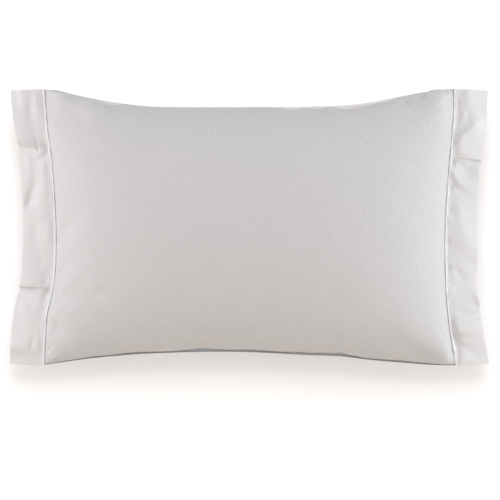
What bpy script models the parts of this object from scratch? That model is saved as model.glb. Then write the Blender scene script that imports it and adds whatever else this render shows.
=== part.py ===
"""A filled pillowcase with a flat border at each end and piping in the seam between border and bag.

Run it with: blender --background --python part.py

It lies on its back. Units are metres, +Z is up, +X runs along the pillow and +Y across it. The origin is on the
surface it lies on, under the middle of its box. Lengths below are in millimetres until MM turns them into metres.
"""

import math
from collections import namedtuple

import bmesh
import bpy
import numpy as np

MM = 0.001

# The cloth as it is cut: a bag for a 750 x 500 pillow, and a border 56 wide sewn on at each end.
BAG_HALF_HEIGHT = 248.0  # from the middle to a corner of the filled bag
CLOTH_THICK = 2.4  # the two layers of a border, or of the bag's rim, pressed together
PIPING_DIAMETER = 2.6
SEAM_ROOM = 0.6  # from the piping to the cloth on each side of it

# How the filling holds the cloth out.
SEAM_HEIGHT = 75.0  # of the bag's rim above the surface, at the middle of a side
CORNER_SAG = 13.0  # how much lower the rim is at a corner
CROWN = 95.0  # of the face above the rim, at the middle
REST_SHARE = 0.86  # the back lies flat where its fullness passes this share
BORDER_SAG = 9.0  # of a border's free edge below the seam

# Roundness of the crown: a higher "flat" gives a broader top, a lower "steep" gives a blunter rim.
Roundness = namedtuple("Roundness", "flat steep")
LENGTHWISE = Roundness(flat=2.7, steep=0.60)
CROSSWISE = Roundness(flat=2.1, steep=0.60)

# Outlines of the filled pillow, as (place along the edge, distance from the middle line).
EdgePoint = namedtuple("EdgePoint", "along out")
TOP_EDGE = [
    EdgePoint(-371, 248.0),
    EdgePoint(-345, 245.5),
    EdgePoint(-300, 234.5),
    EdgePoint(-250, 225.0),
    EdgePoint(-200, 219.5),
    EdgePoint(-100, 216.5),
    EdgePoint(0, 215.3),
    EdgePoint(100, 216.0),
    EdgePoint(200, 221.5),
    EdgePoint(250, 230.5),
    EdgePoint(300, 240.5),
    EdgePoint(345, 247.0),
    EdgePoint(371, 248.0),
]
BOTTOM_EDGE = [
    EdgePoint(-371, 248.0),
    EdgePoint(-340, 243.0),
    EdgePoint(-275, 233.5),
    EdgePoint(-200, 226.5),
    EdgePoint(-100, 222.5),
    EdgePoint(0, 222.5),
    EdgePoint(100, 225.5),
    EdgePoint(165, 228.5),
    EdgePoint(210, 235.5),
    EdgePoint(280, 242.0),
    EdgePoint(371, 248.0),
]
LEFT_SEAM = [
    EdgePoint(-248, 371.5),
    EdgePoint(-200, 368.5),
    EdgePoint(-158, 365.0),
    EdgePoint(-125, 357.0),
    EdgePoint(-84, 350.5),
    EdgePoint(-20, 348.5),
    EdgePoint(62, 351.5),
    EdgePoint(125, 357.0),
    EdgePoint(175, 364.0),
    EdgePoint(248, 371.0),
]
RIGHT_SEAM = [
    EdgePoint(-248, 372.5),
    EdgePoint(-195, 362.5),
    EdgePoint(-130, 354.5),
    EdgePoint(-66, 351.8),
    EdgePoint(0, 352.0),
    EdgePoint(80, 356.6),
    EdgePoint(160, 364.0),
    EdgePoint(205, 368.0),
    EdgePoint(248, 369.0),
]
LEFT_BORDER = [
    EdgePoint(-244, 429.5),
    EdgePoint(-190, 426.5),
    EdgePoint(-150, 421.5),
    EdgePoint(-112, 412.5),
    EdgePoint(-104, 414.5),
    EdgePoint(-60, 409.0),
    EdgePoint(0, 405.8),
    EdgePoint(95, 411.0),
    EdgePoint(140, 414.0),
    EdgePoint(155, 416.5),
    EdgePoint(190, 423.0),
    EdgePoint(244, 427.5),
]
RIGHT_BORDER = [
    EdgePoint(-244, 429.5),
    EdgePoint(-185, 418.0),
    EdgePoint(-131, 409.5),
    EdgePoint(-106, 405.8),
    EdgePoint(-60, 407.0),
    EdgePoint(40, 407.4),
    EdgePoint(84, 411.0),
    EdgePoint(127, 416.8),
    EdgePoint(180, 423.0),
    EdgePoint(244, 427.5),
]

# Folds across a border. The cloth above a fold's line stands "lift" proud of the cloth below it at the free edge,
# over a facet "riser" wide. It starts "start" of the way across, and eases off over "above" and "below" the line.
Fold = namedtuple("Fold", "edge_y seam_y lift riser start above below")
LEFT_FOLDS = [
    Fold(edge_y=-106, seam_y=-110, lift=6.0, riser=4.5, start=0.0, above=45, below=30),
    Fold(edge_y=155, seam_y=136, lift=9.0, riser=9.0, start=0.2, above=50, below=60),
]
RIGHT_FOLDS = [
    Fold(edge_y=-184, seam_y=-176, lift=3.5, riser=5.0, start=0.1, above=40, below=30),
    Fold(edge_y=119, seam_y=127, lift=3.0, riser=2.5, start=0.0, above=45, below=35),
]

# Soft creases on the bag's face, from (x0, y0) to (x1, y1). A negative depth is a ridge.
Crease = namedtuple("Crease", "x0 y0 x1 y1 width depth")
FACE_CREASES = [
    Crease(x0=-345, y0=240, x1=-290, y1=205, width=16, depth=5.0),
    Crease(x0=-270, y0=214, x1=-215, y1=180, width=16, depth=3.0),
    Crease(x0=-352, y0=196, x1=-250, y1=120, width=26, depth=-2.5),
    Crease(x0=335, y0=226, x1=270, y1=205, width=15, depth=4.0),
    Crease(x0=345, y0=-222, x1=215, y1=-140, width=26, depth=-4.0),
    Crease(x0=-345, y0=-232, x1=-270, y1=-180, width=22, depth=-3.5),
    Crease(x0=-340, y0=-122, x1=-250, y1=-150, width=22, depth=3.0),
]

# Mesh steps, in cells.
BAG_CELLS = (40, 34)
BORDER_CELLS_ACROSS = 6
BORDER_STEP = 14.0
PIPING_STEP = 12.0
PIPING_TURN_POINTS = 7
PIPING_RISE = 2.0  # of the piping's centreline above the cloth's middle layer

COTTON = (0.60, 0.58, 0.57)
BORDER_COTTON = (0.68, 0.66, 0.65)
PIPING_WHITE = (0.88, 0.89, 0.91)
COTTON_ROUGHNESS = 0.85


def smooth_through(table, at):
    """A smooth curve through the table's rows, read at the places in the array at."""
    along = np.array([row.along for row in table], float)
    out = np.array([row.out for row in table], float)
    slope = np.gradient(out, along)
    at = np.clip(at, along[0], along[-1])
    i = np.clip(np.searchsorted(along, at) - 1, 0, len(along) - 2)
    gap = along[i + 1] - along[i]
    k = (at - along[i]) / gap
    return (
        out[i] * (2 * k**3 - 3 * k**2 + 1)
        + slope[i] * gap * (k**3 - 2 * k**2 + k)
        + out[i + 1] * (3 * k**2 - 2 * k**3)
        + slope[i + 1] * gap * (k**3 - k**2)
    )


def rim_height(s, t):
    """Height of the bag's rim, and of the seams in line with it. s and t run from -1 to 1."""
    return SEAM_HEIGHT - CORNER_SAG * np.abs(s * t) ** 3


def fullness(s, t):
    """How far the filling holds the cloth out, from 0 at the rim to 1 at the middle."""
    lengthwise = np.maximum(0, 1 - np.abs(s) ** LENGTHWISE.flat) ** LENGTHWISE.steep
    crosswise = np.maximum(0, 1 - np.abs(t) ** CROSSWISE.flat) ** CROSSWISE.steep
    return lengthwise * crosswise


def crease_depth(crease, x, y):
    """Depth of one crease at x, y: a soft trough along its line, shallower at both ends."""
    along = np.array([crease.x1 - crease.x0, crease.y1 - crease.y0], float)
    length = np.hypot(*along)
    along /= length
    from_start = (x - crease.x0) * along[0] + (y - crease.y0) * along[1]
    off_line = (y - crease.y0) * along[0] - (x - crease.x0) * along[1]
    past_end = np.maximum(0, np.maximum(-from_start, from_start - length))
    return crease.depth * np.exp(-(off_line**2 + past_end**2) / crease.width**2)


def bag_place(a, b, is_top):
    """The bag: its rim follows the four outlines, its face is crowned, and its back is pressed flat below."""
    s = np.sin(a * math.pi / 2)  # closer steps near the rim, where the cloth turns down steeply
    t = np.sin(b * math.pi / 2)
    y_guess = t * BAG_HALF_HEIGHT
    seam_slot = PIPING_DIAMETER / 2 + SEAM_ROOM
    left = -(smooth_through(LEFT_SEAM, y_guess) - seam_slot)
    right = smooth_through(RIGHT_SEAM, y_guess) - seam_slot
    x = left + (right - left) * (s + 1) / 2
    top = smooth_through(TOP_EDGE, x)
    bottom = -smooth_through(BOTTOM_EDGE, x)
    y = bottom + (top - bottom) * (t + 1) / 2

    rim = rim_height(s, t)
    full = fullness(s, t)
    fade = np.minimum(1, full * 4)
    creases = sum(crease_depth(crease, x, y) for crease in FACE_CREASES) * fade
    face = rim + CLOTH_THICK / 2 + CROWN * full - creases
    pressed = 1 - np.maximum(0, 1 - full / REST_SHARE) ** 2
    back = (rim - CLOTH_THICK / 2) * (1 - pressed)
    return x, y, np.where(is_top, face, back)


def fold_lift(fold, across, y, ridge, valley):
    """Height that one fold adds: it climbs to the ridge from above, drops over the facet, and eases back below."""
    grown = np.clip((across - fold.start) / (1 - fold.start), 0, 1)
    grown = grown**2 * (3 - 2 * grown)
    above = np.exp(-np.maximum(0, y - ridge) / fold.above)
    below = -0.35 * np.exp(-np.maximum(0, valley - y) / fold.below)
    part = np.clip((y - valley) / (ridge - valley), 0, 1)
    return fold.lift * grown * (below + (above - below) * part)


def border_rows(folds, edge_half):
    """Rows across a border as pairs (y at the seam, y at the free edge), with one on each fold's ridge and valley."""
    anchors = [(-BAG_HALF_HEIGHT, -edge_half)]
    for fold in folds:
        anchors.append((fold.seam_y - 1.0, fold.edge_y - fold.riser))
        anchors.append((fold.seam_y, fold.edge_y))
    anchors.append((BAG_HALF_HEIGHT, edge_half))
    rows = [anchors[0]]
    for low, high in zip(anchors, anchors[1:]):
        steps = max(1, round((high[1] - low[1]) / BORDER_STEP))
        for k in range(1, steps + 1):
            rows.append(tuple(a + (b - a) * k / steps for a, b in zip(low, high)))
    return np.array(rows)


def border_place(side, seam, edge, folds):
    """A border: a thin sheet from the seam to its free edge, which sags a little and buckles at its folds."""
    edge_half = edge[-1].along
    rows = border_rows(folds, edge_half)
    row_steps = len(rows) - 1

    def place(a, b, is_top):
        across = (a * side + 1) / 2
        row = (b + 1) / 2 * row_steps
        seam_y = np.interp(row, np.arange(len(rows)), rows[:, 0])
        edge_y = np.interp(row, np.arange(len(rows)), rows[:, 1])
        y = seam_y + (edge_y - seam_y) * across
        seam_slot = PIPING_DIAMETER / 2 + SEAM_ROOM
        seam_x = smooth_through(seam, seam_y) + seam_slot
        edge_x = smooth_through(edge, edge_y)
        x = side * (seam_x + (edge_x - seam_x) * across)
        z = rim_height(1.0, seam_y / BAG_HALF_HEIGHT) - BORDER_SAG * across**1.6
        for fold in folds:
            ridge = fold.seam_y + (fold.edge_y - fold.seam_y) * across
            valley = ridge - 1.0 - (fold.riser - 1.0) * across
            z = z + fold_lift(fold, across, y, ridge, valley)
        return x, y, z + np.where(is_top, CLOTH_THICK / 2, -CLOTH_THICK / 2)

    return place, row_steps


def piping_route(side, seam):
    """Points of one loop of piping: along the face, round the rim, back under the seam, and round again."""
    half = BAG_HALF_HEIGHT - PIPING_RISE / 2
    steps = round(2 * half / PIPING_STEP)
    run = np.linspace(-half, half, steps + 1)
    turn = np.linspace(0, math.pi, PIPING_TURN_POINTS)[1:-1]
    y = np.concatenate([run, half + PIPING_RISE * np.sin(turn), run[::-1], -half - PIPING_RISE * np.sin(turn)])
    rise = np.concatenate([np.ones(len(run)), np.cos(turn), -np.ones(len(run)), -np.cos(turn)])
    x = side * smooth_through(seam, y)
    z = rim_height(1.0, np.clip(y / BAG_HALF_HEIGHT, -1, 1)) + PIPING_RISE * rise
    return np.stack([x, y, z], axis=1) * MM


def material(name, colour, roughness):
    made = bpy.data.materials.new(name)
    made.use_nodes = True
    shader = made.node_tree.nodes["Principled BSDF"]
    shader.inputs["Base Color"].default_value = (*colour, 1)
    shader.inputs["Roughness"].default_value = roughness
    shader.inputs["Metallic"].default_value = 0.0
    return made


def add_to(collection, name, data, finish):
    data.materials.append(finish)
    made = bpy.data.objects.new(name, data)
    collection.objects.link(made)
    return made


def slab(collection, name, cells, place, finish):
    """A closed slab: a grid, thickened, whose corners are then put where place(a, b, is_top) says."""
    bm = bmesh.new()
    bmesh.ops.create_grid(bm, x_segments=cells[0], y_segments=cells[1], size=1)
    raised = bmesh.ops.extrude_face_region(bm, geom=bm.faces[:], use_keep_orig=True)
    for vert in raised["geom"]:
        if isinstance(vert, bmesh.types.BMVert):
            vert.co.z = 1
    flat = np.array([vert.co for vert in bm.verts])
    points = np.stack(place(flat[:, 0], flat[:, 1], flat[:, 2] > 0.5), axis=1) * MM
    for vert, point in zip(bm.verts, points):
        vert.co = point
    bmesh.ops.recalc_face_normals(bm, faces=bm.faces[:])
    mesh = bpy.data.meshes.new(name)
    bm.to_mesh(mesh)
    bm.free()
    mesh.shade_smooth()
    mesh.set_sharp_from_angle(angle=math.radians(50))
    return add_to(collection, name, mesh, finish)


def piping(collection, name, side, seam, finish):
    """A round cord in a closed loop along the seam."""
    route = piping_route(side, seam)
    curve = bpy.data.curves.new(name, "CURVE")
    curve.dimensions = "3D"
    curve.bevel_depth = PIPING_DIAMETER / 2 * MM
    curve.bevel_resolution = 2
    spline = curve.splines.new("POLY")
    spline.points.add(len(route) - 1)
    for point, place in zip(spline.points, route):
        point.co = (*place, 1)
    spline.use_cyclic_u = True
    return add_to(collection, name, curve, finish)


def main():
    for old in list(bpy.data.objects):
        bpy.data.objects.remove(old)
    pillowcase = bpy.data.collections.new("pillowcase")
    bpy.context.scene.collection.children.link(pillowcase)

    cotton = material("bag_cotton", COTTON, COTTON_ROUGHNESS)
    border_cotton = material("border_cotton", BORDER_COTTON, COTTON_ROUGHNESS)
    white = material("piping_cotton", PIPING_WHITE, COTTON_ROUGHNESS)

    slab(pillowcase, "filled_bag", BAG_CELLS, bag_place, cotton)
    ends = [
        ("left", -1, LEFT_SEAM, LEFT_BORDER, LEFT_FOLDS),
        ("right", 1, RIGHT_SEAM, RIGHT_BORDER, RIGHT_FOLDS),
    ]
    for end, side, seam, edge, folds in ends:
        place, row_steps = border_place(side, seam, edge, folds)
        slab(pillowcase, end + "_border", (BORDER_CELLS_ACROSS, row_steps), place, border_cotton)
        piping(pillowcase, end + "_piping", side, seam, white)


main()
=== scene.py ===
# %% [markdown]
# # A filled pillowcase
# The real thing is a bag of pearl grey cotton over a pillow, with a flat band of the same cotton at each
# end and white piping in the two seams between. It lies on its back, and the camera looks straight down
# at its face. The solids of the frame give every piece its place and size. This script gives each of them
# a finer skin: the bag is two cut panels blown up by a cloth simulation, the borders are thin folded
# sheets, and the piping is a cord.

# %% Load the frame
import math

import bpy
import numpy as np
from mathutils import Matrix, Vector


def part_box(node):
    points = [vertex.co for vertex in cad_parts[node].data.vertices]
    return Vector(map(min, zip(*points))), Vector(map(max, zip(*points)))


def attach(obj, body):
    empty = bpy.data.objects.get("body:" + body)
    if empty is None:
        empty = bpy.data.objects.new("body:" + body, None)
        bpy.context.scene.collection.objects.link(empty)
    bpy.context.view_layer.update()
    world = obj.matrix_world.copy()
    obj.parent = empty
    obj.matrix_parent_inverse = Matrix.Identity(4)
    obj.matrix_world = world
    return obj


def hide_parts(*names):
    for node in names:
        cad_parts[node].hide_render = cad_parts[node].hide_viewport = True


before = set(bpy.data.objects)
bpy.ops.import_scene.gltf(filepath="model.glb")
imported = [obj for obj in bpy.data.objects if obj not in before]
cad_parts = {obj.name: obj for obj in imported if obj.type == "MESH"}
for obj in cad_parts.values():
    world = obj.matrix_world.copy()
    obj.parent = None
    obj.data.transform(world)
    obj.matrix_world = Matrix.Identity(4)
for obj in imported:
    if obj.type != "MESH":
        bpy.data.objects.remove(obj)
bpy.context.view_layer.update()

for name in sorted(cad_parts):
    low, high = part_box(name)
    corners = [[round(v * 1000, 1) for v in corner] for corner in (low, high)]
    print(name, "from", corners[0], "to", corners[1], "mm")

# %% [markdown]
# ## The cut and the outlines
# Lengths are in millimetres until a mesh is made. A filled pillow draws its edges in between the corners,
# so each edge is a short table of points, read as one smooth curve. The flat cut is what the cloth would
# measure unfilled, and the simulation below holds the cloth to it.

# %% Driving sizes
MM = 0.001
MM_PER_METRE = 1000
CUT_HALF_LENGTH = 375.0
CUT_HALF_HEIGHT = 250.0
BAG_HALF_HEIGHT = 248.0
BORDER_WIDTH = 56.0
CLOTH_THICK = 2.4
PIPING_DIAMETER = 2.6
PIPING_RISE = 2.0
SEAM_ROOM = 0.6
SEAM_HEIGHT = 75.0
CORNER_SAG = 13.0
CROWN = 95.0
REST_SHARE = 0.86
BORDER_SAG = 9.0
LENGTHWISE = {"flat": 2.7, "steep": 0.60}
CROSSWISE = {"flat": 2.1, "steep": 0.60}

cut_size = 2 * (CUT_HALF_LENGTH + BORDER_WIDTH), 2 * CUT_HALF_HEIGHT
print("the flat cut, with its borders, is", *cut_size, "mm")

# %% Outlines, as (place along the edge, distance from the middle line)
TOP_EDGE = np.array([
    (-371, 248.0), (-345, 244.3), (-321, 238.0), (-300, 233.9), (-250, 225.0), (-200, 217.7), (-150, 214.6),
    (-100, 213.2), (-55, 214.8), (0, 214.8), (100, 215.5), (200, 220.8), (250, 229.9), (300, 240.0),
    (345, 246.9), (371, 248.5),
])
BOTTOM_EDGE = np.array([
    (-371, 248.5), (-340, 243.7), (-275, 235.0), (-200, 228.5), (-100, 224.8), (0, 224.9), (40, 226.6),
    (100, 229.9), (165, 232.7), (210, 238.0), (280, 244.5), (335, 248.6), (371, 249.5),
])
LEFT_SEAM = np.array([
    (-248, 371.5), (-200, 368.5), (-158, 365.0), (-125, 357.0), (-84, 350.5), (-20, 348.5), (62, 351.5),
    (125, 357.0), (175, 364.0), (248, 371.0),
])
RIGHT_SEAM = np.array([
    (-248, 372.5), (-195, 362.5), (-130, 354.5), (-66, 351.8), (0, 352.0), (80, 356.6), (160, 364.0),
    (205, 368.0), (248, 369.0),
])
LEFT_EDGE = np.array([
    (-246, 432.5), (-190, 429.0), (-150, 423.8), (-128, 419.6), (-112, 414.4), (-104, 413.6), (-88, 409.9),
    (-60, 409.0), (0, 406.6), (50, 408.8), (95, 411.8), (120, 414.2), (140, 415.2), (155, 417.0),
    (173, 420.6), (205, 426.6), (246, 431.2),
])
RIGHT_EDGE = np.array([
    (-246, 432.0), (-185, 420.0), (-131, 411.5), (-106, 407.6), (-60, 409.4), (40, 409.4), (84, 413.0),
    (127, 418.6), (180, 425.4), (246, 430.0),
])

drawn_in = TOP_EDGE[:, 1].min() + BOTTOM_EDGE[:, 1].min()
print("the long edges are drawn in to", round(drawn_in, 1), "mm apart")


def smooth_through(table, at):
    """A cubic through the table's points: each span blends its two ends and their slopes."""
    along, out = table[:, 0], table[:, 1]
    slope = np.gradient(out, along)
    at = np.clip(at, along[0], along[-1])
    i = np.clip(np.searchsorted(along, at) - 1, 0, len(along) - 2)
    gap = along[i + 1] - along[i]
    k = (at - along[i]) / gap
    ends = out[i] * (2 * k**3 - 3 * k**2 + 1) + out[i + 1] * (3 * k**2 - 2 * k**3)
    return ends + gap * (slope[i] * (k**3 - 2 * k**2 + k) + slope[i + 1] * (k**3 - k**2))


# %% [markdown]
# ## The shape of the filling
# Two numbers place a point on the bag: s runs from -1 at the left seam to 1 at the right one, and t from
# -1 at the bottom edge to 1 at the top one. Fullness says how far the filling holds the cloth out, from 0
# at the rim to 1 in the middle. It is a product of two rounded bumps, which gives a broad top and blunt
# sides.

# %% Functions of s and t
def rim_height(s, t):
    """Height of the bag's rim: the height of the seams, less a sag that grows towards the corners."""
    return SEAM_HEIGHT - CORNER_SAG * np.abs(s * t) ** 3


def bump(share, flat, steep):
    """(1 - share^flat)^steep: a higher flat makes the top broader, a lower steep makes the side blunter."""
    return np.maximum(0, 1 - np.abs(share) ** flat) ** steep


def fullness(s, t):
    """The lengthwise bump times the crosswise one."""
    return bump(s, **LENGTHWISE) * bump(t, **CROSSWISE)


def bag_plan(s, t):
    """x and y of a point: s and t slide it between the two seams, and then between the two long edges."""
    slot = PIPING_DIAMETER / 2 + SEAM_ROOM
    y_guess = t * BAG_HALF_HEIGHT
    left = -(smooth_through(LEFT_SEAM, y_guess) - slot)
    right = smooth_through(RIGHT_SEAM, y_guess) - slot
    x = left + (right - left) * (s + 1) / 2
    top = smooth_through(TOP_EDGE, x)
    bottom = -smooth_through(BOTTOM_EDGE, x)
    return x, bottom + (top - bottom) * (t + 1) / 2


ARC_POINTS = 4000


def evenly(shape, half_width):
    """A function from a share of the cloth to a share of the width: equal steps are equal lengths of cloth.

    It walks the arc of the middle profile in small steps, adds up their lengths, and reads that table
    backwards.
    """
    share = np.sin(np.linspace(0, math.pi / 2, ARC_POINTS))
    height = CROWN * bump(share, **shape)
    length = np.concatenate([[0], np.cumsum(np.hypot(np.diff(share) * half_width, np.diff(height)))])
    return lambda cloth: np.sign(cloth) * np.interp(np.abs(cloth), length / length[-1], share)


# %% [markdown]
# ## Creases
# Cloth that is drawn in at a seam shows it as soft troughs and ridges that run away from the seam. Each
# one is a line with a height, below 0 for a trough, and a width on either side, so that one flank can be
# steep and the other soft. Left and right are as seen when looking along the line from its first point,
# where something holds the cloth. Its height fades like a bell curve. Broad folds go in before the
# simulation, which gives them the form that cloth takes, and the fine ones after it, because they are
# narrower than the steps of its grid.

# %% Folds and creases of the face: x0, y0, x1, y1, height, width on the left, width on the right
FACE_FOLDS = np.array([
    (-347, 242, -292, 210, 3.0, 16, 30),
    (-292, 217, -224, 185, 3.0, 14, 34),
    (-365, -224, -277, -185, 2.5, 24, 24),
    (-351, -117, -260, -140, -2.5, 22, 22),
    (-346, 174, -277, 120, 1.5, 26, 26),
    (306, 235, 270, 206, -2.5, 14, 18),
    (338, 238, 345, 120, 6.0, 15, 30),
    (352, -222, 334, -110, 5.0, 30, 14),
    (-334, 240, -330, 170, 3.0, 24, 26),
])
FACE_CREASES = np.array([
    (322, -212, 240, -150, 6.0, 26, 44),
    (-338, 232, -306, 212, 8.0, 6, 22),
    (-283, 214, -247, 190, 8.5, 9, 28),
    (318, 244, 310, 227, -5.0, 5, 7),
    (327, 247, 333, 222, 2.5, 4, 8),
    (284, 236, 272, 214, -4.5, 8, 10),
    (358, 236, 330, 219, 4.0, 5, 12),
    (-340, -16, -286, 38, -3.2, 14, 14),
    (-346, 91, -308, 133, -2.2, 9, 9),
    (-346, -81, -297, -52, -2.4, 8, 10),
    (-347, -124, -301, -77, 2.4, 9, 9),
    (-360, 197, -340, 185, -1.0, 6, 6),
    (-355, 136, -342, 122, -3.5, 6, 7),
    (-350, -112, -338, -122, -5.0, 6, 7),
    (-346, -177, -337, -196, -4.2, 13, 13),
    (-355, -129, -315, -174, 2.6, 10, 10),
    (-366, -226, -350, -206, -4.5, 4, 5),
    (-352, -236, -334, -226, 3.0, 5, 8),
    (-365, -232, -340, -224, 1.5, 5, 7),
    (-261, -115, -290, -126, -1.6, 10, 10),
    (158, -223, 191, -192, 2.4, 5, 9),
    (151, -223, 173, -199, -1.2, 6, 4),
    (78, -221, 119, -192, 1.2, 8, 8),
    (-96, -221, -39, -201, -1.8, 7, 12),
    (350, -115, 338, -110, -1.5, 3, 3),
    (350, -124, 336, -128, -1.2, 3, 3),
    (358, 138, 341, -6, 1.0, 8, 8),
    (340, -114, 334, -108, -2.0, 3, 3),
])
print(len(FACE_FOLDS), "broad folds and", len(FACE_CREASES), "fine creases on the face")

# %% How a crease runs, as shares of its widths and of its length
ROOT_WIDTH = 0.7
WIDENING = 0.6
WIDEST_AT = 1.5
FADING = 1.6


def creases(table, x, y):
    """Sum over the rows of height * exp(-(off / width)^2 - FADING * k^2).

    k runs from 0 at the row's first point to 1 at its second, and off is the distance from its line. The
    width is ROOT_WIDTH of what the row says at the first point, and grows with k. Before the first point the
    height falls off within the row's larger width.
    """
    total = np.zeros_like(x)
    for x0, y0, x1, y1, height, left, right in table:
        length = math.hypot(x1 - x0, y1 - y0)
        ux, uy = (x1 - x0) / length, (y1 - y0) / length
        on_line = (x - x0) * ux + (y - y0) * uy
        off_line = (y - y0) * ux - (x - x0) * uy
        k = np.maximum(0, on_line) / length
        before = np.minimum(0, on_line) / max(left, right)
        width = np.where(off_line > 0, left, right) * (ROOT_WIDTH + WIDENING * np.minimum(k, WIDEST_AT))
        total += height * np.exp(-((off_line / width) ** 2) - before**2 - FADING * k**2)
    return total


def ripple(at, pitch, seed):
    """A random smooth line from -1 to 1: seeded numbers, one each pitch, with a cubic through them."""
    places = np.arange(at.min() - pitch, at.max() + 2 * pitch, pitch)
    heights = np.random.default_rng(seed).uniform(-1, 1, len(places))
    return smooth_through(np.stack([places, heights], axis=-1), at)


def push_out(grid, height):
    """The grid with each point moved by height along the cross product of its two steps."""
    direction = np.cross(np.gradient(grid, axis=0), np.gradient(grid, axis=1))
    direction /= np.linalg.norm(direction, axis=-1, keepdims=True)
    return grid + direction * height[..., None]


# %% [markdown]
# ## The two panels of the bag
# The seam between face and back is not one clean line. Along the top the face is pulled in here and
# there, and a sliver of the back panel shows behind it. Along the bottom the face is drawn over a narrow
# ditch.

# %% How far the face stands back from the outline, as (x, distance)
TOP_INSET = np.array([
    (-300, 0.3), (-278, 0.6), (-262, 4.4), (-245, 5.6), (-228, 1.2), (-190, 0.4), (-60, 0.5), (-50, 1.5),
    (-25, 1.8), (0, 1.3), (25, 1.1), (45, 1.3), (83, 4.8), (100, 3.0), (125, 4.4), (145, 2.4), (172, 7.0),
    (198, 6.2), (225, 4.4), (250, 4.2), (264, 1.4), (280, 0.4), (300, 0.3),
])
BOTTOM_INSET = np.array([
    (-350, 2.0), (-310, 2.0), (-282, 3.2), (-253, 2.4), (-225, 3.6), (-196, 3.9), (-140, 3.0), (-110, 5.2),
    (-81, 6.6), (-52, 4.6), (5, 5.4), (34, 4.3), (63, 4.2), (91, 5.2), (145, 6.0), (163, 7.4), (180, 5.0),
    (206, 2.8), (240, 3.3), (263, 3.9), (300, 3.2), (350, 2.6),
])
INSET_REACH = 14.0

# %% How the seams hold the face's creases and pucker its cloth
RIM_SHARE = 0.3
RISE_FROM_RIM = 8
SEAM_HOLD = 9.0
PUCKER_PITCH = 13.0
PUCKER_HEIGHT = 0.55
PUCKER_REACH = 15.0
PUCKER_ROOT = 3
PUCKER_SLANT = 0.2


def bag_panels(along, across, table):
    """The face and the back as two grids of points, and the flat cut they were sewn from.

    The face stands CROWN times its fullness above the rim. Its creases have RIM_SHARE of their height at
    the long edges, and none at the two seams, where the piping holds the cloth. The back hangs below the
    rim, and is pressed flat on the surface where its fullness passes REST_SHARE.
    """
    along, across = np.meshgrid(along, across, indexing="ij")
    s = evenly(LENGTHWISE, LEFT_SEAM[:, 1].min())(along)
    t = evenly(CROSSWISE, TOP_EDGE[:, 1].min())(across)
    x, y = bag_plan(s, t)
    rim = rim_height(s, t)
    full = fullness(s, t)
    from_edge = (1 - np.abs(t)) * BAG_HALF_HEIGHT
    inset = np.where(t > 0, -smooth_through(TOP_INSET, x), smooth_through(BOTTOM_INSET, x))
    face_y = y + inset * np.exp(-((from_edge / INSET_REACH) ** 2))
    face = np.stack([x, face_y, rim + CLOTH_THICK / 2 + CROWN * full], axis=-1)
    from_seam = (1 - np.abs(s)) * CUT_HALF_LENGTH
    free = np.minimum(1, RIM_SHARE + full * RISE_FROM_RIM) * (1 - np.exp(-((from_seam / SEAM_HOLD) ** 2)))
    face = push_out(face, creases(table, x, y) * free)
    pressed = 1 - np.maximum(0, 1 - full / REST_SHARE) ** 2
    back = np.stack([x, y, (rim - CLOTH_THICK / 2) * (1 - pressed)], axis=-1)
    cut = np.stack([along * CUT_HALF_LENGTH, across * CUT_HALF_HEIGHT, np.zeros_like(along)], axis=-1)
    return face, back, cut


def seam_puckers(cut, face):
    """Height of the small waves beside the seams: a ripple along each seam, which fades away from it."""
    height = np.zeros(cut.shape[:2])
    for axis, half, seed in [(0, CUT_HALF_LENGTH, 3), (1, CUT_HALF_HEIGHT, 8)]:
        for side in (-1, 1):
            inwards = half - side * cut[..., axis]
            fade = np.exp(-inwards / PUCKER_REACH) * (1 - np.exp(-inwards / PUCKER_ROOT))
            along_seam = face[..., 1 - axis] + inwards * PUCKER_SLANT
            height += ripple(along_seam, PUCKER_PITCH, seed + side) * fade
    return height * PUCKER_HEIGHT


# %% [markdown]
# ## From grids to a closed mesh
# A sewn thing has two skins and a rim. One function closes any such pair. It takes the border of both
# grids as a loop and puts a few rings of points between the two loops. A small table says where the rings
# go, and so whether the rim is a rounded fold, a ditch, or a tongue that reaches under the piping.

# %% Mesh from two grids
def rim_loop(grid):
    """The grid's border as one loop, without repeating a corner."""
    return np.concatenate([grid[:-1, 0], grid[-1, :-1], grid[:0:-1, -1], grid[0, :0:-1]])


def quads(index):
    """Four corners of every cell of a grid of vertex numbers."""
    cells = [index[:-1, :-1], index[1:, :-1], index[1:, 1:], index[:-1, 1:]]
    return np.stack(cells, axis=-1).reshape(-1, 4)


def make_mesh(name, points, faces, cloth):
    """A smooth mesh from arrays in millimetres, with the cloth's flat coordinates, in metres, as UV map."""
    mesh = bpy.data.meshes.new(name)
    mesh.from_pydata((points * MM).tolist(), [], faces.tolist())
    corners = np.empty(len(mesh.loops), np.int32)
    mesh.loops.foreach_get("vertex_index", corners)
    layer = mesh.uv_layers.new(name="cloth")
    layer.uv.foreach_set("vector", (cloth[corners] * MM).astype(np.float32).ravel())
    mesh.shade_smooth()
    made = bpy.data.objects.new(name, mesh)
    bpy.context.scene.collection.objects.link(made)
    print(name, len(points), "points,", len(faces), "faces")
    return made


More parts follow.
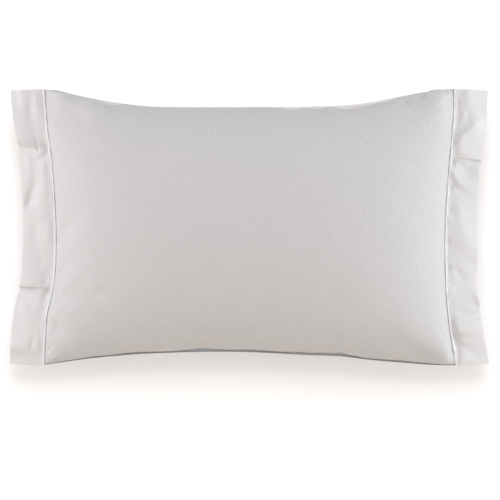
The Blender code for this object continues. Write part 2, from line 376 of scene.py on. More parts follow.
def close_skins(front, back, rings):
    """Points and faces of a closed body with two skins. The rings are an array (ring, place on loop, 3).

    Its three numbers are w, out and up, and the point is front + (back - front) * w, moved out in the plane
    of the loop and up.
    """
    size = front.shape[0] * front.shape[1]
    index = np.arange(size).reshape(front.shape[:2])
    front_loop, back_loop = rim_loop(front), rim_loop(back)
    ahead = np.roll(back_loop, -1, axis=0) - np.roll(back_loop, 1, axis=0)
    outward = np.stack([ahead[:, 1], -ahead[:, 0]], axis=-1)
    outward /= np.linalg.norm(outward, axis=1, keepdims=True)
    outward = np.pad(outward, ((0, 0), (0, 1)))
    up = np.array([0.0, 0.0, 1.0])
    between = [
        front_loop + (back_loop - front_loop) * ring[:, :1] + outward * ring[:, 1:2] + up * ring[:, 2:]
        for ring in rings
    ]
    points = np.concatenate([front.reshape(-1, 3), back.reshape(-1, 3), *between])
    count = len(front_loop)
    loops = [rim_loop(index)]
    loops += [2 * size + k * count + np.arange(count) for k in range(len(rings))]
    loops += [rim_loop(index + size)]
    band = [
        np.stack([low, high, np.roll(high, -1), np.roll(low, -1)], axis=-1)
        for low, high in zip(loops, loops[1:])
    ]
    return points, np.concatenate([quads(index), quads(index + size)[:, ::-1], *band])


def close_cloth(cut, rings, allowance):
    """Flat coordinates of those points: the cut for both skins, and its edge, drawn out, for each ring."""
    flat = cut[..., :2].reshape(-1, 2)
    border = rim_loop(cut[..., :2])
    turned_in = border + np.sign(border) * np.array([0, allowance])
    return np.concatenate([flat, flat, *[turned_in] * rings])


# %% [markdown]
# ## Blowing up the bag
# The simulation knows three things: where the bag starts, how large its cloth was cut, and that the rim
# and the patch it lies on stay where they are. A little pressure from inside does the rest. Where the
# start shape has less cloth than the cut, the cloth buckles as it would on a real pillow, and where it
# has more, it pulls flat. It runs on a coarse grid, and only the way each point moved is kept, capped,
# and read off for the points of the fine grid.

# %% Cloth simulation
SIM_STEPS = (130, 88)
SIM_FRAMES = 24
MOST_MOVE = 7.0
CALM_CORNER = 130.0
RESTING_BELOW = 1.2


def settle(front, back, cut):
    """Moves of the two skins after the simulation, in millimetres, none longer than MOST_MOVE.

    They fade out towards the corners, whose creases are listed in the crease tables: each is multiplied by
    1 - exp(-(distance / CALM_CORNER)^2).
    """
    rim = np.ones(front.shape[:2], bool)
    rim[1:-1, 1:-1] = False
    size = rim.size
    index = np.arange(size).reshape(rim.shape)
    back_index = np.where(rim, index, index + size)
    seam = (front + back) / 2
    start = np.concatenate([np.where(rim[..., None], seam, front).reshape(-1, 3), back.reshape(-1, 3)])
    faces = np.concatenate([quads(index), quads(back_index)[:, ::-1]])
    used, faces = np.unique(faces, return_inverse=True)
    start, flat = start[used], np.concatenate([cut.reshape(-1, 3)] * 2)[used]

    mesh = bpy.data.meshes.new("settling")
    mesh.from_pydata((start * MM).tolist(), [], faces.reshape(-1, 4).tolist())
    shell = bpy.data.objects.new("settling", mesh)
    bpy.context.scene.collection.objects.link(shell)
    shell.shape_key_add(name="start")
    cut_key = shell.shape_key_add(name="cut")
    cut_key.data.foreach_set("co", (flat * MM).astype(np.float32).ravel())
    held = np.concatenate([rim.ravel(), np.zeros(size, bool)])[used] | (start[:, 2] < RESTING_BELOW)
    pins = shell.vertex_groups.new(name="held")
    pins.add(np.nonzero(held)[0].tolist(), 1.0, "REPLACE")

    cloth = shell.modifiers.new("cloth", "CLOTH").settings
    cloth.quality = 6
    cloth.mass = 0.01
    cloth.tension_stiffness = 40
    cloth.compression_stiffness = 40
    cloth.shear_stiffness = 5
    cloth.bending_stiffness = 0.05
    cloth.use_pressure = True
    cloth.uniform_pressure_force = 4
    cloth.vertex_group_mass = "held"
    cloth.rest_shape_key = cut_key
    cloth.effector_weights.gravity = 0
    for step in range(1, SIM_FRAMES + 1):
        bpy.context.scene.frame_set(step)
    settled = shell.evaluated_get(bpy.context.evaluated_depsgraph_get()).to_mesh()
    end = np.empty(len(start) * 3, np.float32)
    settled.vertices.foreach_get("co", end)
    bpy.context.scene.frame_set(1)
    bpy.data.objects.remove(shell)

    move = end.reshape(-1, 3) / MM - start
    far = np.linalg.norm(move, axis=1, keepdims=True)
    average, most = round(float(far.mean()), 2), round(float(far.max()), 2)
    print("cloth moved", average, "mm on average and", most, "at most")
    move *= np.minimum(1, MOST_MOVE / np.maximum(far, 1e-6))
    from_corner = np.hypot(CUT_HALF_LENGTH - np.abs(flat[:, 0]), CUT_HALF_HEIGHT - np.abs(flat[:, 1]))
    move *= 1 - np.exp(-((from_corner[:, None] / CALM_CORNER) ** 2))
    whole = np.zeros((2 * size, 3))
    whole[used] = move
    return whole[:size].reshape(front.shape), whole[size:].reshape(back.shape)


def cubic_reader(at, count):
    """A matrix that turns count values, evenly spaced from -1 to 1, into the values at other places.

    Each row holds the four weights of the cubic through the two values before the place and the two after.
    """
    place = (at + 1) / 2 * (count - 1)
    before = np.clip(np.floor(place).astype(int), 0, count - 2)
    k = place - before
    weights = [
        -k / 2 + k**2 - k**3 / 2,
        1 - 5 / 2 * k**2 + 3 / 2 * k**3,
        k / 2 + 2 * k**2 - 3 / 2 * k**3,
        -(k**2) / 2 + k**3 / 2,
    ]
    reader = np.zeros((len(at), count))
    for step, weight in enumerate(weights):
        np.add.at(reader, (np.arange(len(at)), np.clip(before + step - 1, 0, count - 1)), weight)
    return reader


# %% Run it, and make the bag
FINE_STEPS = (260, 176)
FINER_ENDS = (0.35, 0.5)
SEAM_ALLOWANCE = 3.0
NEAR = 0.01
SEAM_RINGS = {
    "end": [(0.12, 0.5, 0.0), (0.44, 1.8, 0.0), (0.56, 1.8, 0.0), (0.88, 0.5, 0.0)],
    "top": [(0.10, 0.0, -2.0), (0.35, 0.0, -1.0), (0.80, 0.0, 0.8), (1.00, 0.4, 0.7)],
    "bottom": [(0.03, 0.0, -8.0), (0.86, 0.0, -8.0), (0.90, 0.0, 0.0), (1.00, 0.0, 0.1)],
}


def closer_at_ends(steps, share):
    """Places from -1 to 1 that draw closer together near both ends: k + share * sin(pi * k) / pi."""
    k = np.linspace(-1, 1, steps + 1)
    return k + share * np.sin(math.pi * k) / math.pi


def choose_rings(masks, tables):
    """One ring table for the whole loop, from a table for each stretch of it."""
    stretches = [mask[None, :, None] for mask in masks]
    return np.select(stretches, [np.array(table)[:, None, :] for table in tables])


along, across = (closer_at_ends(steps, share) for steps, share in zip(FINE_STEPS, FINER_ENDS))
face, back, cut = bag_panels(along, across, np.concatenate([FACE_FOLDS, FACE_CREASES]))
face = push_out(face, seam_puckers(cut, face))
coarse = [np.linspace(-1, 1, steps + 1) for steps in SIM_STEPS]
moves = settle(*bag_panels(*coarse, FACE_FOLDS))
readers = cubic_reader(along, SIM_STEPS[0] + 1), cubic_reader(across, SIM_STEPS[1] + 1)
face, back = (
    skin + np.einsum("ia,jb,abc->ijc", *readers, move, optimize=True)
    for skin, move in zip((face, back), moves)
)
back[..., 2] = np.maximum(back[..., 2], 0)
loop = rim_loop(cut)
masks = [np.abs(loop[:, 0]) > CUT_HALF_LENGTH - NEAR, loop[:, 1] > 0, loop[:, 1] < 0]
rings = choose_rings(masks, [SEAM_RINGS[name] for name in ("end", "top", "bottom")])
bag = make_mesh("bag", *close_skins(face, back, rings), close_cloth(cut, len(rings), SEAM_ALLOWANCE))

# %% [markdown]
# ## The borders
# Each border is a band of doubled cloth, sewn down one long side only. It is a ruled sheet: straight
# threads run from a place on the seam to a place on the free edge. Where the seam is drawn in more than
# the free edge, the band has cloth to spare. It lets it out in a few sharp folds, which are rows of their
# own in the grid, and in many soft dents and ridges, which are creases as on the face. A fold's row says
# where its ridge meets the free edge and the seam, how high the ridge stands, how wide the facet below it
# is at the free edge, how far across the border it starts, and how far above and below it the cloth takes
# to lie flat again.

# %% Fold tables: edge_y, seam_y, lift, riser, start, above, below
LEFT_FOLDS = [(-106, -110, 6.5, 3.6, 0.0, 45, 30), (155, 137, 9.0, 10.0, 0.12, 70, 45)]
RIGHT_FOLDS = [(119, 127, 2.5, 2.2, 0.0, 45, 35)]

# %% Creases of the left border: x0, y0, x1, y1, height, width on the left, width on the right
LEFT_CREASES = np.array([
    (-384, 232, -377, 172, 3.0, 15, 8),
    (-396, 214, -391, 170, -1.8, 10, 8),
    (-412, 246, -404, 200, 3.5, 18, 8),
    (-380, 140, -388, 172, -2.6, 4, 4),
    (-362, 142, -376, 150, -7.0, 8, 7),
    (-362, 134, -386, 112, -4.5, 7, 7),
    (-397, 46, -377, 104, -5.5, 9, 11),
    (-398, 124, -396, 60, 2.0, 8, 16),
    (-387, 48, -389, 12, -1.6, 9, 9),
    (-385, -4, -384, -56, -2.0, 12, 12),
    (-371, 112, -367, 0, 1.8, 8, 18),
    (-376, -70, -374, -41, -1.3, 9, 9),
    (-360, -4, -361, -52, 2.2, 8, 13),
    (-367, -100, -361, -70, -1.5, 9, 8),
    (-359, -114, -371, -127, -7.0, 6, 7),
    (-366, -128, -376, -170, -2.0, 8, 8),
    (-405, -150, -388, -175, 2.2, 12, 12),
    (-392, -214, -385, -185, -1.8, 6, 6),
    (-374, -217, -376, -171, -1.6, 5, 5),
    (-430, -218, -362, -215, 5.5, 28, 12),
])

# %% Creases of the right border
RIGHT_CREASES = np.array([
    (379, 161, 429, 201, 5.0, 8, 16),
    (405, 192, 404, 146, 3.8, 18, 18),
    (394, 248, 391, 196, 3.6, 20, 11),
    (385, 204, 382, 184, 1.8, 6, 6),
    (374, 226, 370, 160, -1.8, 5, 6),
    (362, 149, 370, 158, -5.5, 6, 6),
    (360, 117, 369, 112, -11.0, 9, 9),
    (355, 71, 364, 67, -8.0, 6, 6),
    (353, 32, 362, 29, -5.0, 7, 6),
    (351, -24, 360, -28, -4.5, 5, 6),
    (351, -72, 361, -77, -6.0, 7, 8),
    (352, 50, 353, -95, -3.6, 4, 10),
    (383, 131, 417, 129, 1.0, 10, 4),
    (377, 142, 377, 122, 2.6, 30, 8),
    (414, 100, 408, 76, 7.0, 8, 20),
    (378, 112, 404, 78, -2.6, 12, 9),
    (367, 75, 399, 48, -2.6, 8, 9),
    (365, 98, 381, 66, 2.2, 7, 7),
    (354, -108, 366, -118, 2.4, 6, 6),
    (410, -41, 396, -47, -2.0, 2.5, 3),
    (410, -65, 394, -70, -2.6, 3, 3.5),
    (416, -134, 404, -112, 4.5, 10, 8),
    (413, -150, 399, -158, 1.8, 4, 4),
    (381, -154, 402, -152, -2.0, 6, 6),
    (416, -166, 394, -182, 2.0, 4, 5),
    (366, -187, 426, -184, 6.0, 30, 10),
    (360, -176, 372, -246, -11.0, 10, 7),
    (378, -248, 386, -222, 4.0, 6, 20),
    (376, -212, 430, -236, -2.4, 10, 10),
    (376, 30, 390, -45, 1.6, 12, 12),
    (374, -81, 388, -106, -1.8, 9, 9),
])
print(len(LEFT_CREASES), "creases on the left border and", len(RIGHT_CREASES), "on the right one")

# %% The sheet
BORDER_STEPS = 56
BORDER_ROW = 1.0
EDGE_HALF_HEIGHT = 246.0
SAG_CURVE = 1.6
FOLD_DIP = 1.2
LEAST_RISER = 1.0
EDGE_THICK_SHARE = 0.55
SEAM_SWELL = 1.2
SWELL_REACH = 3.0
CREASE_ROOT = 2
BORDER_PUCKER = 0.7
BORDER_PUCKER_PITCH = 9.0
BORDER_PUCKER_REACH = 9
BORDER_WAVE = 2.0
SLANTING_RIPPLES = [{"slant": 0.9, "pitch": 34.0, "seed": 30}, {"slant": -0.6, "pitch": 41.0, "seed": 33}]
BORDER_RINGS = {
    "seam": [(0.10, 0.7, 0.0), (0.44, 1.8, 0.0), (0.56, 1.8, 0.0), (0.90, 0.7, 0.0)],
    "edge": [(0.10, 0.3, 0.0), (0.40, 0.6, 0.0), (0.60, 0.6, 0.0), (0.90, 0.3, 0.0)],
}


def fold_lift(fold, across, y, ridge, valley):
    """Height of one fold: lift at its ridge, and over its facet down to FOLD_DIP times as far below flat.

    It eases back to flat on both sides by exp(-distance / reach). Across the border it grows from nothing at
    start to all of it at the free edge, as k^2 * (3 - 2 * k).
    """
    _, _, lift, _, start, above, below = fold
    grown = np.clip((across - start) / (1 - start), 0, 1)
    grown = grown**2 * (3 - 2 * grown)
    rise = np.exp(-np.maximum(0, y - ridge) / above)
    dip = -FOLD_DIP * np.exp(-np.maximum(0, valley - y) / below)
    share = np.clip((y - valley) / (ridge - valley), 0, 1)
    return lift * grown * (dip + (rise - dip) * share)


def border_threads(folds):
    """Both ends of each thread, as (y at the seam, y at the free edge), one on each ridge and valley."""
    anchors = [(-BAG_HALF_HEIGHT, -EDGE_HALF_HEIGHT)]
    for edge_y, seam_y, _, riser, *_ in folds:
        anchors += [(seam_y - LEAST_RISER, edge_y - riser), (seam_y, edge_y)]
    anchors += [(BAG_HALF_HEIGHT, EDGE_HALF_HEIGHT)]
    threads = [np.array(anchors[:1], float)]
    for low, high in zip(anchors, anchors[1:]):
        steps = max(2, round((high[1] - low[1]) / BORDER_ROW))
        threads.append(np.linspace(low, high, steps + 1)[1:])
    return np.concatenate(threads)


def border_skins(side, seam, edge, folds, table):
    """Front and back of a border as grids, and its flat cut. across is 0 at the seam, 1 at the free edge.

    Its height is that of the seam, less a sag that grows as across^SAG_CURVE, plus the folds, the creases,
    the puckers beside the seam, and a faint unevenness that is the product of two slanting ripples. It is
    thicker at the seam, where three allowances lie in it, and thinner towards the free edge.
    """
    threads = border_threads(folds)
    across, row = np.meshgrid(np.linspace(0, 1, BORDER_STEPS + 1), np.arange(len(threads)), indexing="ij")
    seam_y, edge_y = threads[row, 0], threads[row, 1]
    y = seam_y + (edge_y - seam_y) * across
    seam_x = smooth_through(seam, seam_y) + PIPING_DIAMETER / 2 + SEAM_ROOM
    x = side * (seam_x + (smooth_through(edge, edge_y) - seam_x) * across)
    z = rim_height(1.0, seam_y / BAG_HALF_HEIGHT) - BORDER_SAG * across**SAG_CURVE
    for fold in folds:
        edge_at, seam_at, riser = fold[0], fold[1], fold[3]
        ridge = seam_at + (edge_at - seam_at) * across
        valley = ridge - LEAST_RISER - (riser - LEAST_RISER) * across
        z += fold_lift(fold, across, y, ridge, valley)
    from_seam = across * BORDER_WIDTH
    free = 1 - np.exp(-from_seam / CREASE_ROOT)
    z += creases(table, x, y) * free
    puckers = ripple(y, BORDER_PUCKER_PITCH, 20 + side)
    z += BORDER_PUCKER * puckers * np.exp(-from_seam / BORDER_PUCKER_REACH) * free
    wave = BORDER_WAVE
    for each in SLANTING_RIPPLES:
        wave = wave * ripple(y + each["slant"] * x, each["pitch"], each["seed"] + side)
    z += wave
    thinned = EDGE_THICK_SHARE + (1 - EDGE_THICK_SHARE) * (1 - across**4)
    half_thick = CLOTH_THICK / 2 * thinned + SEAM_SWELL * np.exp(-from_seam / SWELL_REACH)
    cut = np.stack([CUT_HALF_LENGTH + from_seam, y * CUT_HALF_HEIGHT / BAG_HALF_HEIGHT], axis=-1)
    front = np.stack([x, y, z + half_thick], axis=-1)
    rear = np.stack([x, y, z - half_thick], axis=-1)
    order = slice(None, None, side)
    return front[order], rear[order], cut[order]


borders = {}
for end, side, seam, edge, folds, table in [
    ("left", -1, LEFT_SEAM, LEFT_EDGE, LEFT_FOLDS, LEFT_CREASES),
    ("right", 1, RIGHT_SEAM, RIGHT_EDGE, RIGHT_FOLDS, RIGHT_CREASES),
]:
    front, rear, flat = border_skins(side, seam, edge, folds, table)
    at_seam = rim_loop(flat)[:, 0] < CUT_HALF_LENGTH + NEAR
    rings = choose_rings([at_seam, ~at_seam], [BORDER_RINGS["seam"], BORDER_RINGS["edge"]])
    body = close_skins(front, rear, rings)
    borders[end] = make_mesh("border_" + end, *body, close_cloth(flat, len(rings), 0.0))

# %% [markdown]
# ## The piping
# A cord covered in white cotton is caught in each seam, along the face and back along the underside in
# one loop. A tube is a circle carried along a line: at each place on the line two directions square to it
# give the circle. The cover is sewn by hand and eye, so the line wavers a little and the cord is not
# quite even. The left one, side -1, is a little fuller and straighter than the right one, side 1.

# %% Tube along a closed line
PIPING_STEP = 1.5
PIPING_SIDES = 12
TURN_POINTS = 9
COVER_THICK = {-1: 0.38, 1: 0.24}
WAVER = {-1: 0.25, 1: 0.35}
WAVER_PITCHES = {"sideways": 12.0, "upright": 9.0}
UNEVEN = {-1: 0.10, 1: 0.20}
UNEVEN_PITCH = 7.0


def piping_line(side, seam):
    """The loop's points: along the face, a half turn round the rim, back below, and another half turn."""
    half = BAG_HALF_HEIGHT - PIPING_RISE / 2
    run = np.linspace(-half, half, round(2 * half / PIPING_STEP) + 1)
    turn = np.linspace(0, math.pi, TURN_POINTS)[1:-1]
    past_end = PIPING_RISE * np.sin(turn)
    y = np.concatenate([run, half + past_end, run[::-1], -half - past_end])
    rise = np.concatenate([np.ones(len(run)), np.cos(turn), -np.ones(len(run)), -np.cos(turn)])
    x = side * (smooth_through(seam, y) + WAVER[side] * ripple(y, WAVER_PITCHES["sideways"], 40 + side))
    z = rim_height(1.0, np.clip(y / BAG_HALF_HEIGHT, -1, 1)) + PIPING_RISE * rise
    z = z + WAVER[side] * ripple(y, WAVER_PITCHES["upright"], 50 + side)
    return np.stack([x, y, z], axis=-1)


def closed_tube(line, radius, sides):
    """Rings of points round a closed line, and the cloth's flat coordinates (along, around).

    Each ring's first direction is square to the line and to X, and its second is square to both.
    """
    ahead = np.roll(line, -1, axis=0) - np.roll(line, 1, axis=0)
    ahead /= np.linalg.norm(ahead, axis=1, keepdims=True)
    first = np.cross(ahead, [1.0, 0.0, 0.0])
    first /= np.linalg.norm(first, axis=1, keepdims=True)
    second = np.cross(ahead, first)
    angle = np.arange(sides) * 2 * math.pi / sides
    out = first[:, None] * np.cos(angle)[:, None] + second[:, None] * np.sin(angle)[:, None]
    points = line[:, None] + out * radius[:, None, None]
    step = np.linalg.norm(line - np.roll(line, 1, axis=0), axis=1)
    along = np.cumsum(step)[:, None] + np.zeros(sides)
    around = angle * PIPING_DIAMETER / 2 + np.zeros((len(line), 1))
    index = np.arange(len(line) * sides).reshape(len(line), sides)
    wrapped = np.pad(index, ((0, 1), (0, 1)), mode="wrap")
    return points.reshape(-1, 3), quads(wrapped), np.stack([along, around], axis=-1).reshape(-1, 2)


pipings = {}
for end, side, seam in [("left", -1, LEFT_SEAM), ("right", 1, RIGHT_SEAM)]:
    line = piping_line(side, seam)
    fuller = 1 + UNEVEN[side] * ripple(line[:, 1], UNEVEN_PITCH, 60 + side)
    radius = (PIPING_DIAMETER / 2 + COVER_THICK[side]) * fuller
    pipings[end] = make_mesh("piping_" + end, *closed_tube(line, radius, PIPING_SIDES))

# %% [markdown]
# ## Finishes
# A material is a small program. A class wraps a socket so that Python's own operators write the Math
# nodes, and one method adds any other node. Patterns read the flat coordinates of the cloth, so threads
# follow it over the crown.

# %% Shader helpers
class Wire:
    """An output socket. Arithmetic on it adds Math nodes and gives the result's socket."""

    def __init__(self, nodes, socket):
        self.nodes = nodes
        self.socket = socket

    def math(self, operation, *values):
        """A Math node on wires and numbers."""
        return self.nodes.node("ShaderNodeMath", {"operation": operation}, dict(enumerate(values)))

    def __add__(self, other):
        return self.math("ADD", self, other)

    def __radd__(self, other):
        return self.math("ADD", other, self)

    def __sub__(self, other):
        return self.math("SUBTRACT", self, other)

    def __rsub__(self, other):
        return self.math("SUBTRACT", other, self)

    def __mul__(self, other):
        return self.math("MULTIPLY", self, other)

    def __rmul__(self, other):
        return self.math("MULTIPLY", other, self)

    def sine(self):
        return self.math("SINE", self)

    def size(self):
        return self.math("ABSOLUTE", self)

    def clamped(self):
        """The same wire, held between 0 and 1 by its own Math node."""
        self.socket.node.use_clamp = True
        return self


class Nodes:
    """A node tree with one method that adds nodes, and a few short names for the ones that come back."""

    def __init__(self, tree):
        self.tree = tree

    def plug(self, value, socket):
        """Links a wire to a socket, or sets a plain value on it."""
        if isinstance(value, Wire):
            self.tree.links.new(value.socket, socket)
        else:
            socket.default_value = value

    def node(self, kind, settings, inputs, output=0):
        """Adds a node of a kind: its settings first, then the values or wires of its sockets."""
        made = self.tree.nodes.new(kind)
        for number, (place, colour) in enumerate(settings.pop("stops", [])):
            stops = made.color_ramp.elements
            stop = stops[number] if number < len(stops) else stops.new(place)
            stop.position, stop.color = place, (*colour, 1)
        for key, value in settings.items():
            setattr(made, key, value)
        for key, value in inputs.items():
            self.plug(value, made.inputs[key])
        return Wire(self, made.outputs[output])

    def noise(self, at, scale, detail=2.0):
        """Noise from 0 to 1 whose grains are as long, in metres, as scale says along each axis."""
        spread = {"Vector": at, "Scale": tuple(1 / v for v in scale)}
        placed = self.node("ShaderNodeMapping", {}, spread)
        return self.node("ShaderNodeTexNoise", {}, {"Vector": placed, "Scale": 1.0, "Detail": detail})

    def tint(self, factor, low, high):
        """A colour between two, by a factor from 0 to 1. Each of the two is a colour or a wire."""
        low, high = (c if isinstance(c, Wire) else (*c, 1) for c in (low, high))
        return self.node("ShaderNodeMix", {"data_type": "RGBA"}, {0: factor, 6: low, 7: high}, 2)


class Finish(Nodes):
    """A material whose even values are set on the shader."""

    def __init__(self, name, values):
        self.material = bpy.data.materials.new(name)
        self.material.use_nodes = True
        super().__init__(self.material.node_tree)
        self.shader = self.tree.nodes["Principled BSDF"]
        for socket, value in values.items():
            self.shader.inputs[socket].default_value = value

    def cloth_uv(self):
        """The cloth's flat coordinates: both as one vector, and each on its own."""
        cloth = self.node("ShaderNodeUVMap", {"uv_map": "cloth"}, {})
        return cloth, *(self.node("ShaderNodeSeparateXYZ", {}, {0: cloth}, axis) for axis in (0, 1))

    def drive(self, socket, value):
        """Feeds one of the shader's sockets."""
        self.plug(value, self.shader.inputs[socket])

    def relief(self, height, depth, strength):
        """Bumps whose full height is depth, in metres."""
        bumps = {"Strength": strength, "Distance": depth, "Height": height}
        self.drive("Normal", self.node("ShaderNodeBump", {}, bumps))


# %% [markdown]
# ### Cotton
# The cloth is a close plain weave in pearl grey. Up close there are the crossings of the threads, and
# from a step away only the slubs show: short lengths of thread a little thicker than the rest, all of
# them upright. The borders are smoother. Cotton is rough, with a soft sheen where it turns away. Two
# narrow strips of the bag have painted light in their colour. Where it turns under beside the piping,
# painted shade makes it browner. The edge that the top seam turns out has a painted highlight, so the
# colour lightens past that seam.

# %% Cotton for the bag and the borders, in metres but for the width of the painted shade by the piping
THREAD = 0.0007
SLUB_SIZE = (0.0013, 0.013, 1.0)
GRAIN_SIZE = (0.0014, 0.0018, 1.0)
CLOUD_SIZE = (0.05, 0.08, 1.0)
WEAVE_DEPTH = 0.00012
COTTON_ROUGH = 0.66
# Painted highlight: this pale colour past the top seam stands in for light catching the turned-out edge.
PAINTED_EDGE_HIGHLIGHT = (0.76, 0.75, 0.74)
# Painted shade: a brown strip of this width beside the piping stands in for the shade in the seam.
DITCH_SHADE_WIDTH = 1.6
PAINTED_DITCH_SHADE = (0.58, 0.42, 0.29)


def cotton(name, colour, slubs, cloudy, ditch):
    """Colour = the cloth's, 6% lighter or darker by slubs, grain and a broad cloudiness.

    slubs and cloudy say how strongly each shows, and ditch how fast the painted shade beside the piping
    turns the colour brown, as a share for each millimetre. A painted highlight lightens the colour past the
    top seam. Bump = weave plus slubs and grain.
    """
    finish = Finish(name, {"Sheen Weight": 0.08, "Sheen Roughness": 0.45, "Specular IOR Level": 0.25})
    cloth, u, v = finish.cloth_uv()
    slub = finish.noise(cloth, SLUB_SIZE)
    grain = finish.noise(cloth, GRAIN_SIZE, 0.0)
    cloud = finish.noise(cloth, CLOUD_SIZE, 1.0)
    turn = 2 * math.pi / THREAD
    weave = (u * turn).sine() * (v * turn).sine()
    tone = (slub - 0.5) * slubs + (grain - 0.5) * slubs * 1.2 + (cloud - 0.5) * cloudy + 0.5
    dark = tuple(c * 0.94 for c in colour)
    light = tuple(c * 1.06 for c in colour)
    # Painted highlight: past the top seam the colour lightens to the pale edge colour.
    painted_highlight_past_seam = ((v * MM_PER_METRE - CUT_HALF_HEIGHT - 0.5) * 2).clamped()
    # Painted shade: beside the piping the colour turns brown, as fast as ditch says.
    painted_shade_by_piping = ((u.size() * MM_PER_METRE - CUT_HALF_LENGTH + DITCH_SHADE_WIDTH) * ditch).clamped()
    woven_with_painted_shade = finish.tint(painted_shade_by_piping, finish.tint(tone, dark, light), PAINTED_DITCH_SHADE)
    finish.drive("Base Color", finish.tint(painted_highlight_past_seam, woven_with_painted_shade, PAINTED_EDGE_HIGHLIGHT))
    finish.relief(weave * 0.35 + slub * 0.8 + grain * 0.4, WEAVE_DEPTH, 0.5)
    finish.drive("Roughness", COTTON_ROUGH + (slub - 0.5) * 0.12)
    print(name, len(finish.tree.nodes), "nodes")
    return finish.material


bag_cotton = cotton("bag cotton", (0.565, 0.56, 0.565), slubs=2.9, cloudy=0.5, ditch=0.5)
border_cotton = cotton("border cotton", (0.65, 0.645, 0.65), slubs=0.9, cloudy=0.4, ditch=0.0)


# %% Piping cotton, in metres
WIND_PITCH = (0.0011, 0.0013)
PATCH_SIZE = (0.006, 0.01, 1.0)
WIND_DEPTH = 0.00015


def piping_cotton():
    """White cotton on a cord: bump = threads wound round it plus patches, which also shift its tone."""
    finish = Finish("piping cotton", {"Roughness": 0.55, "Sheen Weight": 0.2, "Specular IOR Level": 0.35})
    cloth, u, v = finish.cloth_uv()
    wind = (u * (2 * math.pi / WIND_PITCH[0]) + v * (2 * math.pi / WIND_PITCH[1])).sine()
    patch = finish.noise(cloth, PATCH_SIZE)
    finish.drive("Base Color", finish.tint(patch, (0.68, 0.69, 0.71), (0.94, 0.95, 0.97)))
    finish.relief(wind * 0.4 + patch, WIND_DEPTH, 0.6)
    print("piping cotton", len(finish.tree.nodes), "nodes")
    return finish.material


white_cotton = piping_cotton()

# %% [markdown]
# ## Light, floor and camera
# The pillow was shot on white, in soft light from all round. The sky is a ramp of tones from the foot,
# which is warm and dim, over the face to the head. Below the horizon a second ramp glows as a white floor
# would, so the floor itself needn't light the pillow. A soft lamp stands low at each side, the right one
# stronger. Light linking keeps both off the floor, where they would wash out the shade. A lamp beyond the
# head lights the floor alone: it burns the floor out to white, and leaves the soft shade below the foot.
# The camera sees a plain pale backdrop past the floor, and looks straight down through a long lens.

# %% Floor
bpy.ops.mesh.primitive_plane_add(size=40)
floor = bpy.context.object
floor.name = "floor"
floor_white = Finish("floor white", {"Base Color": (0.93, 0.93, 0.93, 1), "Roughness": 0.9}).material
floor.data.materials.append(floor_white)
floor.visible_diffuse = floor.visible_shadow = False


# %% Lamps
LAMPS_POINT_AT = Vector((0, 0, 0.08))


def lamp(name, place, size, power, colour):
    """A rectangular lamp that points at the middle of the pillow."""
    data = bpy.data.lights.new(name, "AREA")
    data.shape = "RECTANGLE"
    data.size, data.size_y = size
    data.energy = power
    data.color = colour
    made = bpy.data.objects.new(name, data)
    bpy.context.scene.collection.objects.link(made)
    made.location = place
    made.rotation_euler = (LAMPS_POINT_AT - Vector(place)).to_track_quat("-Z", "Y").to_euler()
    print(name, power, "W")
    return made


right = lamp("lamp right", (1.5, 0.1, 0.36), (1.2, 0.5), 8.0, (0.92, 1.0, 1.04))
left = lamp("lamp left", (-1.5, 0.1, 0.36), (1.2, 0.5), 6.1, (0.99, 1.0, 1.0))
head = lamp("lamp head", (0, 1.8, 2.5), (1.5, 1.8), 40, (0.97, 1.0, 1.02))
for lamps, state in [((right, left), "EXCLUDE"), ((head,), "INCLUDE")]:
    receivers = bpy.data.collections.new("floor " + state.lower())
    receivers.objects.link(floor)
    receivers.collection_objects[0].light_linking.link_state = state
    for each in lamps:
        each.light_linking.receiver_collection = receivers

# %% Sky, as stops from the foot of the pillow, past straight above it, to its head
SKY_STRENGTH = 1.01
SKY_STOPS = [
    (0.0, (0.62, 0.47, 0.34)),
    (0.25, (0.905, 0.850, 0.800)),
    (0.5, (1.060, 1.067, 1.083)),
    (0.75, (1.046, 1.023, 1.031)),
    (1.0, (0.927, 0.850, 0.804)),
]
GLOW_STOPS = [(0.0, (0.70, 0.56, 0.42)), (0.5, (1.5, 1.5, 1.5)), (1.0, (0.2, 0.2, 0.2))]
HORIZON_SHARPNESS = 10
BACKDROP = (0.95, 0.95, 0.95)

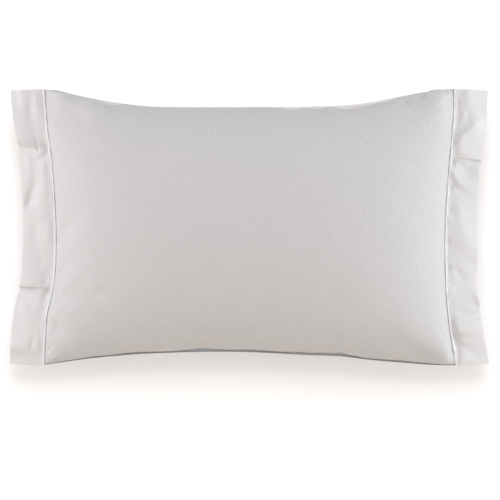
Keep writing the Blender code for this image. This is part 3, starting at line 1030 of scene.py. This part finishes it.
world = bpy.data.worlds.new("studio")
world.use_nodes = True
bpy.context.scene.world = world
sky = Nodes(world.node_tree)
way = sky.node("ShaderNodeTexCoord", {}, {})
headwards, upwards = (sky.node("ShaderNodeSeparateXYZ", {}, {0: way}, axis) for axis in (1, 2))
shade, glow = (
    sky.node("ShaderNodeValToRGB", {"stops": stops}, {0: headwards * 0.5 + 0.5})
    for stops in (SKY_STOPS, GLOW_STOPS)
)
above = (upwards * HORIZON_SHARPNESS + 0.5).clamped()
dome = sky.tint(above, glow, shade)
seen = sky.node("ShaderNodeLightPath", {}, {}, "Is Camera Ray")
background = world.node_tree.nodes["Background"]
sky.plug(sky.tint(seen, dome, BACKDROP), background.inputs["Color"])
background.inputs["Strength"].default_value = SKY_STRENGTH
bpy.context.scene.view_settings.view_transform = "Standard"

# %% Camera
FRAME_PIXELS = 500
PIXEL = 1.794
VIEW_CENTRE = (0.63, -41.4)
CAMERA_ABOVE_SEAM = 3200.0

lens = bpy.data.cameras.new("camera")
lens.sensor_width = 36.0
lens.lens = lens.sensor_width * CAMERA_ABOVE_SEAM / (FRAME_PIXELS * PIXEL)
lens.clip_end = 100.0
camera = bpy.data.objects.new("camera", lens)
bpy.context.scene.collection.objects.link(camera)
camera.location = (VIEW_CENTRE[0] * MM, VIEW_CENTRE[1] * MM, (SEAM_HEIGHT + CAMERA_ABOVE_SEAM) * MM)
bpy.context.scene.camera = camera
print("the lens is", round(lens.lens, 1), "mm long")

# %% [markdown]
# ## Handing over
# Each piece rides on the one body and takes its finish, and the solid it stands for is hidden.

# %% Body, finish and hidden solid for each piece
for piece, node, slot, finish in [
    (bag, "filled_bag", "bag_cotton", bag_cotton),
    (borders["left"], "left_border", "border_cotton", border_cotton),
    (borders["right"], "right_border", "border_cotton", border_cotton),
    (pipings["left"], "left_piping", "piping_cotton", white_cotton),
    (pipings["right"], "right_piping", "piping_cotton", white_cotton),
]:
    piece.data.materials.append(finish)
    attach(piece, "root")
    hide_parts(node)
